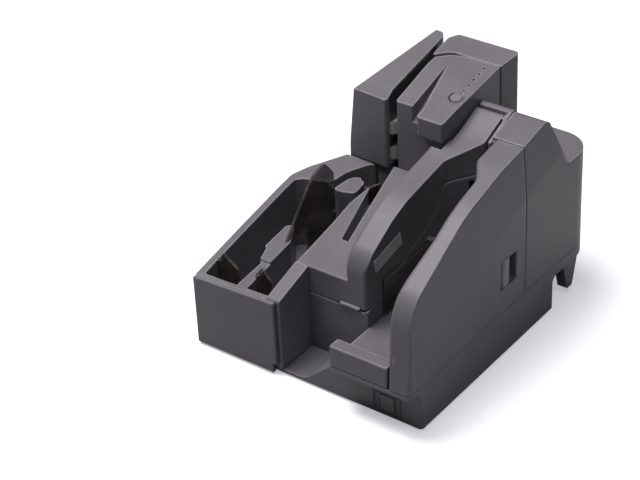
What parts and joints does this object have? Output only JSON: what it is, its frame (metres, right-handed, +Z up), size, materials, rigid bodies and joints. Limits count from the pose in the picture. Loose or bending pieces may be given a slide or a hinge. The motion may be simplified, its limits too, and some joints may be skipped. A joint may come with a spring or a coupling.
{
  "type": "cheque scanner",
  "caption": "Desktop cheque scanner with an upright U-shaped paper path, hinged covers, two sorting pockets, driven rollers and push buttons.",
  "frame": {"origin": "under the middle of the bounding box, at the underside of the rubber feet", "axes": "+X to the scanner's right, +Y to its rear, +Z up; the feeder and the pockets open towards -Y"},
  "size_m": [0.192, 0.246, 0.1653],
  "materials": {
    "board": "circuit board",
    "button": "button cap",
    "case": "fine grained dark grey moulding",
    "case_inner": "darker grey moulding inside",
    "ink": "ink cartridge body",
    "lens": "lamp lens",
    "liner": "dark liner",
    "plate": "blank plate",
    "roller_dark": "dark rubber",
    "roller_white": "light rubber tyre",
    "rubber": "foot and belt rubber",
    "smoked": "smoked translucent plastic",
    "steel": "plain steel"
  },
  "bodies": {
    "chassis": {"back_image_sensor": "ink", "base_tray": "case", "case_screws": "steel", "centre_bridge": "case", "centre_frame": "case", "centre_hinge_pin": "steel", "chassis_plate": "steel", "chassis_screws": "steel", "data_port": "steel", "drive_belt": "rubber", "feed_motor": "steel", "feeder_hinge_pin": "steel", "feeder_tray": "case", "front_image_sensor": "ink", "guide_island": "case", "hopper_spring": "steel", "ink_cartridge": "ink", "ink_cradle": "case_inner", "inner_paper_guide": "liner", "interface_board": "board", "lamp_pipes": "lens", "left_rear_housing": "case", "magnetic_head": "steel", "main_board": "board", "outer_paper_guide": "liner", "panel_board": "board", "pocket_body": "case", "pocket_divider": "case", "pocket_front_panel": "case", "power_port": "ink", "power_switch": "ink", "rear_housing": "case", "rubber_feet": "rubber", "side_hinge_pin": "steel", "tower_body": "case", "tower_rear_cap": "case", "transport_floor": "case_inner", "turn_well_cover": "case_inner"},
    "centre_cover": {"centre_cover": "case", "side_plate": "plate"},
    "feeder_cover": {"feeder_cover": "case", "feeder_cover_liner": "liner"},
    "tower_cover": {"tower_side_cover": "case", "side_cover_liner": "liner"},
    "cover_rollers": {"side_cover_rollers": "roller_white"},
    "hopper_plate": {"hopper_plate": "smoked"},
    "stacker_leaf": {"stacker_leaf": "smoked"},
    "left_tab": {"left_stack_tab": "smoked"},
    "right_tab": {"right_stack_tab": "smoked"},
    "path_gate": {"path_gate": "smoked"},
    "power_button": {"power_button": "button"},
    "panel_button": {"panel_button": "button"},
    "feed_roller": {"feed_roller_shaft": "steel", "feed_roller_tyres": "roller_white"},
    "turn_roller": {"turn_roller_shaft": "steel", "turn_roller_tyres": "roller_white"},
    "exit_roller": {"exit_roller_shaft": "steel", "exit_roller_tyres": "roller_white"},
    "motor_rotor": {"motor_pulley": "steel"},
    "retard_roller": {"retard_roller": "roller_dark"}
  },
  "joints": [
    {"name": "centre_cover_hinge", "type": "hinge", "parent": "chassis", "child": "centre_cover", "pos_m": [0.036, 0.07205, 0.1394], "axis": [-1, 0, 0], "range_deg": [0, 60]},
    {"name": "feeder_cover_hinge", "type": "hinge", "parent": "chassis", "child": "feeder_cover", "pos_m": [0.0816, -0.11945, 0.0473], "axis": [0, 0, -1], "range_deg": [0, 60]},
    {"name": "tower_cover_hinge", "type": "hinge", "parent": "chassis", "child": "tower_cover", "pos_m": [-0.0416, 0.11425, 0.1015], "axis": [0, 0, -1], "range_deg": [0, 75]},
    {"name": "cover_roller_spin", "type": "hinge", "parent": "tower_cover", "child": "cover_rollers", "pos_m": [-0.038, 0.05265, 0.1015], "axis": [0, 0, 1], "continuous": true},
    {"name": "hopper_hinge", "type": "hinge", "parent": "chassis", "child": "hopper_plate", "pos_m": [0.0311, 0.00015, 0.0515], "axis": [0, 0, 1], "range_deg": [0, 15], "stiffness_Nm_per_rad": 0.02},
    {"name": "stacker_leaf_pivot", "type": "hinge", "parent": "chassis", "child": "stacker_leaf", "pos_m": [-0.0542, -0.00075, 0.0515], "axis": [0, 0, 1], "range_deg": [-8, 8]},
    {"name": "left_tab_pivot", "type": "hinge", "parent": "chassis", "child": "left_tab", "pos_m": [-0.0876, -0.09235, 0.0415], "axis": [0, 0, -1], "range_deg": [0, 45], "stiffness_Nm_per_rad": 0.003},
    {"name": "right_tab_pivot", "type": "hinge", "parent": "chassis", "child": "right_tab", "pos_m": [-0.0534, -0.09235, 0.0415], "axis": [0, 0, -1], "range_deg": [0, 45], "stiffness_Nm_per_rad": 0.003},
    {"name": "path_gate_pivot", "type": "hinge", "parent": "chassis", "child": "path_gate", "pos_m": [-0.0432, 0.02405, 0.0515], "axis": [0, 0, 1], "range_deg": [-12, 12], "stiffness_Nm_per_rad": 0.004},
    {"name": "power_button_press", "type": "slide", "parent": "chassis", "child": "power_button", "axis": [0, 1, 0], "range_m": [0, 0.0015], "stiffness_N_per_m": 400},
    {"name": "panel_button_press", "type": "slide", "parent": "chassis", "child": "panel_button", "axis": [0, 0.2008, -0.9796], "range_m": [0, 0.0008], "stiffness_N_per_m": 400},
    {"name": "exit_roller_spin", "type": "hinge", "parent": "chassis", "child": "exit_roller", "pos_m": [-0.0205, 0.05265, 0.0615], "axis": [0, 0, 1], "continuous": true},
    {"name": "feed_roller_spin", "type": "hinge", "parent": "chassis", "child": "feed_roller", "pos_m": [0.04935, 0.04665, 0.0615], "axis": [0, 0, 1], "continuous": true},
    {"name": "turn_roller_spin", "type": "hinge", "parent": "chassis", "child": "turn_roller", "pos_m": [0.03728, 0.09541, 0.0615], "axis": [0, 0, 1], "continuous": true},
    {"name": "motor_spin", "type": "hinge", "parent": "chassis", "child": "motor_rotor", "pos_m": [-0.004, -0.01335, 0.0215], "axis": [0, 0, 1], "continuous": true},
    {"name": "retard_roller_spin", "type": "hinge", "parent": "chassis", "child": "retard_roller", "pos_m": [0.06865, 0.04665, 0.0615], "axis": [0, 0, 1], "continuous": true}
  ],
  "couplings": [
    {"joint": "feed_roller_spin", "follows": "exit_roller_spin", "ratio": 1},
    {"joint": "turn_roller_spin", "follows": "exit_roller_spin", "ratio": 1},
    {"joint": "motor_spin", "follows": "exit_roller_spin", "ratio": 1.5}
  ]
}
